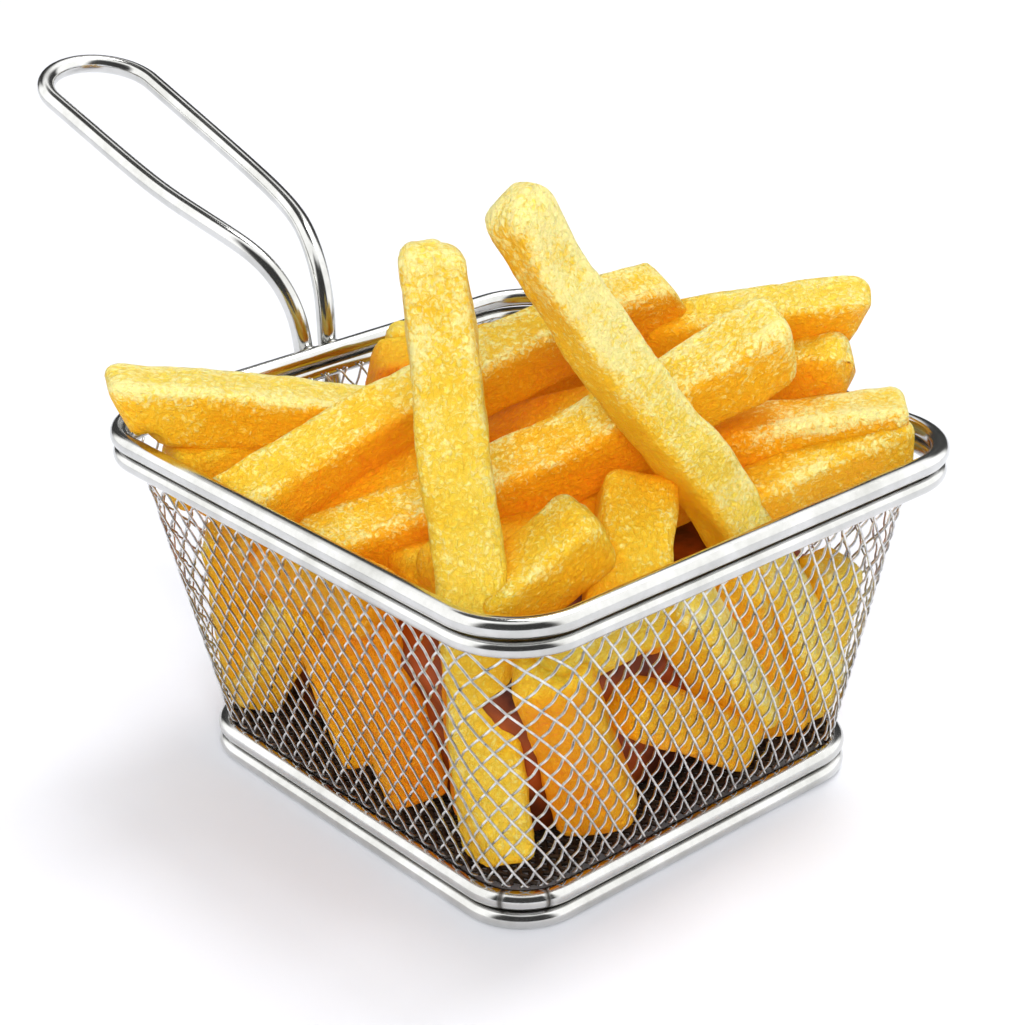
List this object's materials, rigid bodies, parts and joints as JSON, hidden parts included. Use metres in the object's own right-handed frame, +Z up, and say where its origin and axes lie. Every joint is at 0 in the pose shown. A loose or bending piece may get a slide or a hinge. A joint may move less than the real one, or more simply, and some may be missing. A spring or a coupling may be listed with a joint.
{
  "type": "french fries portion",
  "caption": "Small square woven wire basket on stacked rings with a loop handle, heaped with thick cut french fries that stand out above the rim.",
  "frame": {"origin": "on the ground, under the middle of the part's bounding box", "axes": "+Z up, +Y from the basket towards the handle's loop, X across the handle"},
  "size_m": [0.1058, 0.1804, 0.1066],
  "materials": {
    "polished_steel": "polished stainless steel wire",
    "woven_wire": "bright drawn stainless wire, woven",
    "fried_potato": "deep fried potato: golden yellow with pale blistered patches and a light sheen of oil"
  },
  "bodies": {
    "root": {"rim_ring_upper": "polished_steel", "rim_ring_lower": "polished_steel", "base_ring_upper": "polished_steel", "base_ring_lower": "polished_steel", "handle": "polished_steel", "mesh_basket": "woven_wire", "fries_heap": "fried_potato"}
  },
  "joints": []
}
